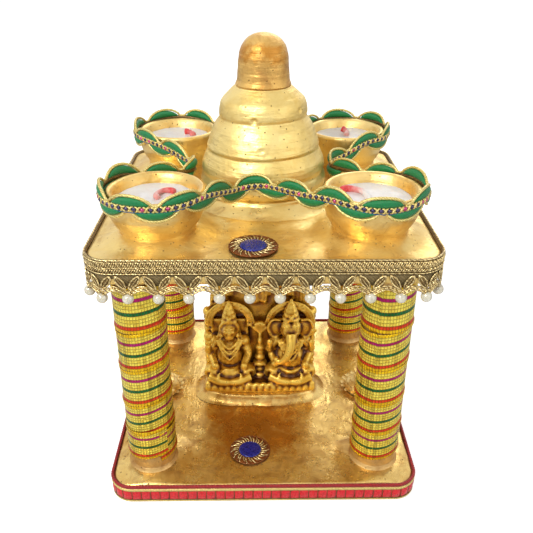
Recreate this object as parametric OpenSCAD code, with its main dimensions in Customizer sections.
// Clay home temple: an open pavilion with a stepped spire, four oil lamps and two seated figures.
// Millimetres, +Z up, front faces -Y, origin at the centre of the base's underside.

/* [Base] */
// Width and depth of the clay base
base_w = 157; // [140:1:190]
// Thickness of the base
base_t = 11.4; // [8:0.2:16]
// Corner radius of the base
base_corner_r = 11; // [6:0.5:20]
// Thickness of the red ribbon round the base
base_ribbon_t = 1.2; // [0.8:0.1:2]
// Gap between the ribbon and each face of the base
base_ribbon_gap = 0.5; // [0.3:0.1:1.5]

/* [Pillars] */
// Clear height from the floor to the roof
pillar_h = 115.6; // [90:1:150]
// Radius of a clay pillar
pillar_r = 11.6; // [9:0.2:14]
// Bare floor between a pillar and the base's edge
pillar_margin = 8.4; // [4:0.1:10]
// Extra radius of the flare at a pillar's foot and head
pillar_flare = 2.4; // [1:0.2:3]
// Height of that flare
pillar_flare_h = 3.6; // [2:0.2:6]

/* [Ribbon bands on the pillars] */
// Number of ribbon bands on a pillar
band_n = 5; // [3:1:7]
// Thickness of a ribbon band
band_t = 0.8; // [0.5:0.1:1.2]
// Gap between two bands
band_gap = 0.6; // [0.4:0.1:1.5]
// Bare clay above and below the bands
band_margin = 4.9; // [3:0.1:8]

/* [Roof] */
// How far the roof's edge is set in from the base's edge
roof_inset = 1; // [0:0.1:4]
// Thickness of the roof
roof_t = 12; // [8:0.5:16]
// Corner radius of the roof
roof_corner_r = 12; // [8:0.5:20]
// Thickness of the gold braid round the roof
braid_t = 1.5; // [1:0.1:2.5]
// Height of the braid
braid_h = 7.2; // [5:0.2:9]
// How far the braid stands above the roof
braid_proud = 0.7; // [0:0.1:1.5]
// Thickness of the hanging lace
fringe_t = 0.8; // [0.5:0.1:1.2]
// Height of the hanging lace
fringe_h = 9; // [6:0.5:12]
// Number of leaf pairs along a straight side
leaf_n = 10; // [6:1:14]
// Radius of a pearl
pearl_r = 2.5; // [1.5:0.1:3]

/* [Spire] */
// Radius of the spire's foot on the roof
foot_r = 43.5; // [40:0.5:44.5]
// Height of the foot
foot_h = 7; // [5:0.5:10]
// Radius of the lowest tier
tier_r = 32; // [28:0.5:34]
// Height of the tiers above the foot
tiers_h = 49.5; // [40:0.5:60]
// Wall of the tiers
tier_wall = 6; // [4:0.5:8]
// Radius of the knob at its joint
knob_r = 13.8; // [11:0.2:16]
// Height of the knob
knob_h = 24.2; // [18:0.2:30]
// Length of the knob's spigot
spigot_h = 5; // [3:0.5:8]

/* [Oil lamps] */
// Bare roof between a lamp's rim and the roof's edge
lamp_margin = 6.6; // [3:0.1:8]
// Outer radius of a lamp bowl
lamp_r = 22.5; // [19:0.1:23]
// Height of a bowl's rim above its foot
lamp_h = 19; // [15:0.5:24]
// Height of the clay foot under a bowl
lamp_foot_h = 3; // [2:0.2:5]
// Thickness of a bowl's wall
lamp_wall = 3.5; // [2.5:0.1:4.5]
// Depth of the wax below the rim
wax_drop = 5; // [4.5:0.1:7]
// Radius of a wick
wick_r = 1.5; // [1:0.1:2]

/* [Garland] */
// Height of the lace garland
garland_h = 12.4; // [8:0.2:15]
// Thickness of the garland
garland_t = 1.2; // [0.8:0.1:1.6]
// Height of its middle line above the roof at the lamps
garland_z = 21; // [18:0.5:24]
// Radius of its bends next to the spire
garland_bend_r = 12; // [10:0.5:13]

/* [Figures] */
// Width of the plate behind the two figures
plaque_w = 68; // [56:1:76]
// Height of the plate above its ledge
plaque_h = 72; // [60:1:90]
// Thickness of the plate
plaque_t = 9; // [6:0.5:12]
// Front face of the plate, behind the middle plane
plaque_y = 8; // [4:0.5:14]
// Sideways place of the plate
plaque_x = -1.5; // [-4:0.5:4]
// Height of the ledge under the figures
ledge_h = 5; // [3:0.5:8]
// Depth of the ledge
ledge_d = 32; // [26:1:40]

/* [Rosettes and flowers] */
// Radius of a rosette
rosette_r = 10.8; // [8:0.2:12]
// Radius of a rosette's blue middle
rosette_eye_r = 5.6; // [4:0.2:7]
// Thickness of a rosette
rosette_t = 0.8; // [0.5:0.1:1.5]
// Radius of a gold flower
flower_r = 13; // [9:0.5:15]
// Height of a gold flower
flower_h = 9; // [6:0.5:12]

/* [Hidden] */
$fn = 64;

GOLD = "goldenrod";
glue = 0.1;
pillar_at = base_w / 2 - pillar_margin - pillar_r;
roof_w = base_w - 2 * roof_inset;
lamp_at = roof_w / 2 - lamp_margin - lamp_r;
roof_z = base_t + pillar_h;
top_z = roof_z + roof_t;
band_pitch = (pillar_h - 2 * band_margin + band_gap) / band_n;
leaf_pitch = (roof_w - 2 * roof_corner_r) / leaf_n;
fringe_top_z = top_z + braid_proud - braid_h;
lamp_z = top_z + lamp_foot_h;
rim_z = lamp_z + lamp_h;
wax_z = rim_z - wax_drop;
plaque_z = base_t + ledge_h;

// ---- shared shapes

// A square of width w with corners of radius r.
module rounded_square(w, r) {
    square([w, w - 2 * r], center = true);
    square([w - 2 * r, w], center = true);
    for (x = [-1, 1], y = [-1, 1]) translate([x * (w / 2 - r), y * (w / 2 - r)]) circle(r);
}

// The outline between two offsets from a rounded square.
module rounded_ring(w, r, inner, outer) {
    difference() {
        rounded_square(w + 2 * outer, r + outer);
        rounded_square(w + 2 * inner, r + inner);
    }
}

// A limb with round ends, from a ball of radius r at a to one of radius s at b.
module limb(a, b, r, s) hull() {
    translate(a) sphere(r, $fn = 18);
    translate(b) sphere(s, $fn = 18);
}

// Half of a closed outline that follows a quarter ellipse from [r, 0] to [0, h].
function quarter(r, h, steps = 12) = [for (i = [0 : steps]) [r * cos(90 * i / steps), h * sin(90 * i / steps)]];

// ---- base

module base_slab() color(GOLD) linear_extrude(base_t) rounded_square(base_w, base_corner_r);

module base_ribbon() color("crimson")
    translate([0, 0, base_ribbon_gap])
        linear_extrude(base_t - 2 * base_ribbon_gap)
            rounded_ring(base_w, base_corner_r, glue, glue + base_ribbon_t);

module floor_disc(x, y, z) {
    translate([x, y, z]) {
        color("peru") cylinder(r = rosette_r, h = rosette_t);
        color("navy") cylinder(r = rosette_eye_r, h = 1.6 * rosette_t);
    }
}

module floor_rosette() floor_disc(-7.3, 4.5 - pillar_at, base_t);

module gold_flower(side) color(GOLD)
    translate([side * (pillar_at + 2.5), 1, base_t])
        rotate_extrude() polygon(concat([[0, 0]], quarter(flower_r, flower_h)));

module flower_left() gold_flower(-1);
module flower_right() gold_flower(1);

// ---- pillars and their ribbon bands

module pillar(x, y) color(GOLD)
    translate([x * pillar_at, y * pillar_at, base_t])
        rotate_extrude() polygon([
            [0, 0], [pillar_r + pillar_flare, 0], [pillar_r, pillar_flare_h],
            [pillar_r, pillar_h - pillar_flare_h], [pillar_r + pillar_flare, pillar_h], [0, pillar_h]]);

module wrap(x, y) color("gold")
    for (i = [0 : band_n - 1])
        translate([x * pillar_at, y * pillar_at, base_t + band_margin + i * band_pitch])
            difference() {
                cylinder(r = pillar_r + glue + band_t, h = band_pitch - band_gap);
                translate([0, 0, -1]) cylinder(r = pillar_r + glue, h = band_pitch + 2);
            }

module pillar_front_left() pillar(-1, -1);
module pillar_front_right() pillar(1, -1);
module pillar_back_left() pillar(-1, 1);
module pillar_back_right() pillar(1, 1);
module wrap_front_left() wrap(-1, -1);
module wrap_front_right() wrap(1, -1);
module wrap_back_left() wrap(-1, 1);
module wrap_back_right() wrap(1, 1);

// ---- roof and its lace

module roof_slab() color(GOLD) translate([0, 0, roof_z]) linear_extrude(roof_t) rounded_square(roof_w, roof_corner_r);

module roof_braid() color("darkkhaki")
    translate([0, 0, fringe_top_z])
        linear_extrude(braid_h) rounded_ring(roof_w, roof_corner_r, glue, braid_t);

// One straight side of lace: a band whose lower edge is a row of leaf tips.
function leaf_edge(i) = [
    [i * leaf_pitch, -0.45 * fringe_h], [(i + 0.2) * leaf_pitch, -0.75 * fringe_h],
    [(i + 0.44) * leaf_pitch, -fringe_h], [(i + 0.56) * leaf_pitch, -fringe_h],
    [(i + 0.8) * leaf_pitch, -0.75 * fringe_h]];

module lace_side() {
    edge = [for (i = [0 : leaf_n - 1], p = leaf_edge(i)) p];
    rotate([90, 0, 0]) linear_extrude(fringe_t)
        polygon(concat([[0, 0]], edge, [[leaf_n * leaf_pitch, -0.45 * fringe_h], [leaf_n * leaf_pitch, 0]]));
}

module lace_corner() {
    rotate_extrude(angle = 90)
        translate([roof_corner_r + glue, -fringe_h]) square([fringe_t, fringe_h]);
}

module roof_fringe() color("darkkhaki")
    for (turn = [0 : 90 : 270]) rotate(turn) {
        translate([-roof_w / 2 + roof_corner_r, -roof_w / 2 - glue, fringe_top_z]) lace_side();
        translate([roof_w / 2 - roof_corner_r, roof_w / 2 - roof_corner_r, fringe_top_z]) lace_corner();
    }

module roof_pearls() color("ivory") {
    out = roof_w / 2 + glue + fringe_t / 2;
    z = fringe_top_z - fringe_h - pearl_r - glue;
    for (turn = [0 : 90 : 270]) rotate(turn) {
        for (i = [0 : leaf_n - 1])
            translate([-roof_w / 2 + roof_corner_r + (i + 0.5) * leaf_pitch, -out, z]) sphere(pearl_r);
        for (a = [22.5, 67.5])
            translate([roof_w / 2 - roof_corner_r, roof_w / 2 - roof_corner_r, z])
                rotate(a) translate([roof_corner_r + glue + fringe_t / 2, 0, 0]) sphere(pearl_r);
    }
}

module roof_rosette() floor_disc(-5, -4 - (foot_r + roof_w / 2) / 2, top_z);

// ---- spire

// Outer outline of the tiers, as shares of their height and of the room between the top and bottom radius.
TIERS = [
    [0, 1], [0.06, 0.985], [0.12, 0.975], [0.15, 0.93], [0.19, 0.955], [0.27, 0.9], [0.35, 0.82],
    [0.39, 0.745], [0.42, 0.76], [0.5, 0.7], [0.58, 0.63], [0.66, 0.5], [0.7, 0.385], [0.72, 0.42],
    [0.79, 0.425], [0.85, 0.38], [0.93, 0.22], [1, 0]];

module spire_foot() color(GOLD)
    translate([0, 0, top_z])
        rotate_extrude() polygon([
            [tier_r - tier_wall, 0], [foot_r, 0], [foot_r - 4.5, 1.6], [foot_r - 8, 3.8],
            [tier_r + 1.6, foot_h], [tier_r - tier_wall, foot_h]]);

module spire_tiers() color(GOLD) {
    outer = [for (p = TIERS) [knob_r + p[1] * (tier_r - knob_r), p[0] * tiers_h]];
    inner = [for (i = [len(outer) - 1 : -1 : 0]) [outer[i].x - tier_wall, outer[i].y]];
    translate([0, 0, top_z + foot_h]) rotate_extrude() polygon(concat(outer, inner));
}

module spire_knob() color(GOLD) {
    cap_h = 0.35 * knob_h;
    side = [[knob_r, 0], [knob_r - 0.6, 0.09 * knob_h], [knob_r - 1.4, 0.4 * knob_h]];
    cap = [for (p = quarter(knob_r - 2, cap_h)) [p.x, p.y + knob_h - cap_h]];
    spigot_r = knob_r - tier_wall - glue;
    translate([0, 0, top_z + foot_h + tiers_h])
        rotate_extrude() polygon(concat([[0, -spigot_h], [spigot_r, -spigot_h], [spigot_r, 0]], side, cap));
}

// ---- oil lamps

// Inner wall of a bowl above its underside; wax and bowl both follow it.
function bowl_inside() = [
    [0, 0.26 * lamp_h], [0.42 * lamp_r, 0.29 * lamp_h], [0.64 * lamp_r, 0.47 * lamp_h],
    [lamp_r - 1.45 * lamp_wall, lamp_h - wax_drop], [lamp_r - lamp_wall, lamp_h - 0.8]];

module lamp_foot(x, y) color(GOLD)
    translate([x * lamp_at, y * lamp_at, top_z])
        rotate_extrude() polygon([
            [0, 0], [0.93 * lamp_r, 0], [0.84 * lamp_r, 0.35 * lamp_foot_h],
            [0.79 * lamp_r, lamp_foot_h], [0, lamp_foot_h]]);

module lamp_bowl(x, y) color(GOLD) {
    outside = [
        [0.98 * lamp_r - 2, lamp_h], [lamp_r, lamp_h - 2], [0.995 * lamp_r, 0.68 * lamp_h],
        [0.95 * lamp_r, 0.42 * lamp_h], [0.85 * lamp_r, 0.16 * lamp_h], [0.78 * lamp_r, 0], [0, 0]];
    translate([x * lamp_at, y * lamp_at, lamp_z])
        rotate_extrude() polygon(concat(bowl_inside(), [[lamp_r - lamp_wall + 1, lamp_h]], outside));
}

module lamp_wax(x, y) color("white") {
    wall = bowl_inside();
    translate([x * lamp_at, y * lamp_at, lamp_z + glue])
        rotate_extrude() polygon([
            wall[0], wall[1], wall[2] - [glue, 0], wall[3] - [glue, glue], [0, lamp_h - wax_drop - glue]]);
}

// A bent wick that lies on the wax, turned about the lamp's middle.
module lamp_wick(x, y, turn, bend_r, bend) color("salmon")
    translate([x * lamp_at, y * lamp_at, wax_z + wick_r]) rotate(turn) translate([bend_r + 4, 0, 0])
        rotate_extrude(angle = bend) translate([bend_r, 0]) circle(wick_r);

module lamp_foot_front_left() lamp_foot(-1, -1);
module lamp_foot_front_right() lamp_foot(1, -1);
module lamp_foot_back_left() lamp_foot(-1, 1);
module lamp_foot_back_right() lamp_foot(1, 1);
module lamp_bowl_front_left() lamp_bowl(-1, -1);
module lamp_bowl_front_right() lamp_bowl(1, -1);
module lamp_bowl_back_left() lamp_bowl(-1, 1);
module lamp_bowl_back_right() lamp_bowl(1, 1);
module lamp_wax_front_left() lamp_wax(-1, -1);
module lamp_wax_front_right() lamp_wax(1, -1);
module lamp_wax_back_left() lamp_wax(-1, 1);
module lamp_wax_back_right() lamp_wax(1, 1);
module lamp_wick_front_left() lamp_wick(-1, -1, 40, 3.6, 200);
module lamp_wick_front_right() lamp_wick(1, -1, 150, 5, 120);
module lamp_wick_back_left() lamp_wick(-1, 1, 20, 4, 110);
module lamp_wick_back_right() lamp_wick(1, 1, 80, 3, 150);

// ---- garland: one closed ribbon that winds round the lamps and is pinched in beside the spire

// Each bend is [centre x, centre y, radius, direction, height]; direction 1 turns left and -1 turns right.
lamp_bend_r = lamp_r + 2 * glue + garland_t / 2;
pinch = tier_r + 2 + garland_t / 2 + garland_bend_r;
BENDS = [
    [-lamp_at, -lamp_at, lamp_bend_r, 1, garland_z], [-4, -pinch, garland_bend_r, -1, garland_z - 3],
    [lamp_at, -lamp_at, lamp_bend_r, 1, garland_z], [pinch, 8, garland_bend_r, -1, garland_z - 7.5],
    [lamp_at, lamp_at, lamp_bend_r, 1, garland_z], [0, pinch, garland_bend_r, -1, garland_z - 3],
    [-lamp_at, lamp_at, lamp_bend_r, 1, garland_z], [-pinch, 0, garland_bend_r, -1, garland_z - 6]];

function xy(v) = [v.x, v.y];
function heading(v) = atan2(v.y, v.x);
// The angle at which the ribbon leaves bend a for bend b, measured about a's centre.
function leave(a, b) = heading(xy(b) - xy(a)) - a[3] * acos((a[2] + b[2]) / norm(xy(b) - xy(a)));
function arc_span(from, to, way) = way * ((way * (to - from) % 360 + 360) % 360);

function bend_points(before, this, after, steps = 24) =
    let (start = leave(before, this) + 180, span = arc_span(start, leave(this, after), this[3]))
    [for (i = [0 : steps]) let (a = start + span * i / steps)
        [this[0] + this[2] * cos(a), this[1] + this[2] * sin(a), this[4]]];

ROUTE = [for (i = [0 : len(BENDS) - 1])
    each bend_points(BENDS[(i + len(BENDS) - 1) % len(BENDS)], BENDS[i], BENDS[(i + 1) % len(BENDS)])];

module garland() color("seagreen") {
    n = len(ROUTE);
    points = [for (i = [0 : n - 1])
        let (ahead = ROUTE[(i + 1) % n], back = ROUTE[(i + n - 1) % n],
             along = xy(ahead - back) / norm(xy(ahead - back)),
             side = [along.y, -along.x, 0] * garland_t / 2, up = [0, 0, garland_h / 2])
        each [ROUTE[i] + side - up, ROUTE[i] + side + up, ROUTE[i] - side + up, ROUTE[i] - side - up]];
    faces = [for (i = [0 : n - 1], k = [0 : 3])
        let (j = (i + 1) % n, m = (k + 1) % 4) each [
            [4 * i + k, 4 * i + m, 4 * j + m], [4 * i + k, 4 * j + m, 4 * j + k]]];
    translate([0, 0, top_z]) polyhedron(points, faces);
}

// ---- ledge, plate and the two seated figures

module idol_ledge() color(GOLD)
    translate([plaque_x, plaque_y - ledge_d / 2 + plaque_t + 1, base_t])
        linear_extrude(ledge_h) {
            square([plaque_w - 6, ledge_d], center = true);
            for (x = [-1, 1]) translate([x * (plaque_w / 2 - 3), 0]) square([6, ledge_d - 12], center = true);
            for (x = [-1, 1], y = [-1, 1])
                translate([x * (plaque_w / 2 - 3), y * (ledge_d / 2 - 6)]) circle(3);
        }

// The plate behind the figures, with a round halo above each head.
module idol_plaque() color("darkgoldenrod")
    translate([plaque_x, plaque_y + plaque_t, plaque_z]) rotate([90, 0, 0]) linear_extrude(plaque_t) {
        half = plaque_w / 2;
        halo = 0.235 * plaque_w;
        polygon([
            [-half, 0], [half, 0], [half, 0.2 * plaque_h], [0.88 * half, 0.55 * plaque_h],
            [0.8 * half, plaque_h - halo], [-0.8 * half, plaque_h - halo], [-0.88 * half, 0.55 * plaque_h],
            [-half, 0.2 * plaque_h]]);
        for (side = [-1, 1]) translate([side * 0.8 * half - side * halo, plaque_h - halo]) circle(halo);
    }

figure_x = 0.265 * plaque_w;
figure_y = -4;

// A figure at side x of the plate: keeps what stands on the ledge and in front of the plate.
module in_front(x) {
    room = plaque_w / 2;
    intersection() {
        translate([plaque_x + x, plaque_y, plaque_z]) scale(plaque_w / 68) children();
        translate([plaque_x + x - room / 2, plaque_y - room, plaque_z]) cube([room, room, 2 * plaque_h]);
    }
}

// Folded legs, belly, chest and four arms, for a belly of radius r.
module seated(r) {
    limb([-9, figure_y - 5, 5], [9, figure_y - 5, 5], 5.5, 5.5);
    limb([0, figure_y - 1, 14], [0, figure_y, 26], r, 7.5);
    for (side = [-1, 1]) {
        limb([side * 12, figure_y - 3, 6], [side * 5, figure_y - 9, 4.5], 5.5, 4);
        limb([side * 8, figure_y - 1, 27], [side * 12, figure_y - 4, 17], 3, 2.4);
        limb([side * 12, figure_y - 4, 17], [side * 8, figure_y - 10, 12], 2.4, 2.6);
        limb([side * 8, figure_y, 28], [side * 12.5, figure_y + 1, 38], 2.6, 2.4);
    }
}

// A tall crown of stacked rings.
module crown(z, r, h) translate([0, figure_y, z])
    rotate_extrude($fn = 32) polygon([
        [0, 0], [r, 0], [1.12 * r, 0.12 * h], [0.95 * r, 0.25 * h], [0.98 * r, 0.34 * h], [0.7 * r, 0.5 * h],
        [0.72 * r, 0.58 * h], [0.34 * r, 0.85 * h], [0.3 * r, h], [0, h]]);

module idol_goddess() color("darkgoldenrod") in_front(-figure_x) {
    seated(9);
    limb([0, figure_y - 1, 37], [0, figure_y - 2, 34.5], 6, 5);
    crown(40, 6, 15);
}

module idol_elephant_god() color("darkgoldenrod") in_front(figure_x) {
    seated(11);
    limb([0, figure_y - 1, 35], [0, figure_y - 3, 31], 7.8, 6);
    for (side = [-1, 1]) limb([side * 9, figure_y + 2, 36], [side * 10, figure_y + 2, 32], 5, 4);
    limb([0, figure_y - 8, 30], [1, figure_y - 11, 22], 3.4, 2.6);
    limb([1, figure_y - 11, 22], [-5, figure_y - 12, 17], 2.6, 2);
    crown(40, 6.4, 14);
}

// ---- what is drawn

base_slab();
base_ribbon();
pillar_front_left();
pillar_front_right();
pillar_back_left();
pillar_back_right();
wrap_front_left();
wrap_front_right();
wrap_back_left();
wrap_back_right();
roof_slab();
roof_braid();
roof_fringe();
roof_pearls();
spire_foot();
spire_tiers();
spire_knob();
lamp_foot_front_left();
lamp_foot_front_right();
lamp_foot_back_left();
lamp_foot_back_right();
lamp_bowl_front_left();
lamp_bowl_front_right();
lamp_bowl_back_left();
lamp_bowl_back_right();
lamp_wax_front_left();
lamp_wax_front_right();
lamp_wax_back_left();
lamp_wax_back_right();
lamp_wick_front_left();
lamp_wick_front_right();
lamp_wick_back_left();
lamp_wick_back_right();
garland();
idol_ledge();
idol_plaque();
idol_goddess();
idol_elephant_god();
floor_rosette();
roof_rosette();
flower_left();
flower_right();
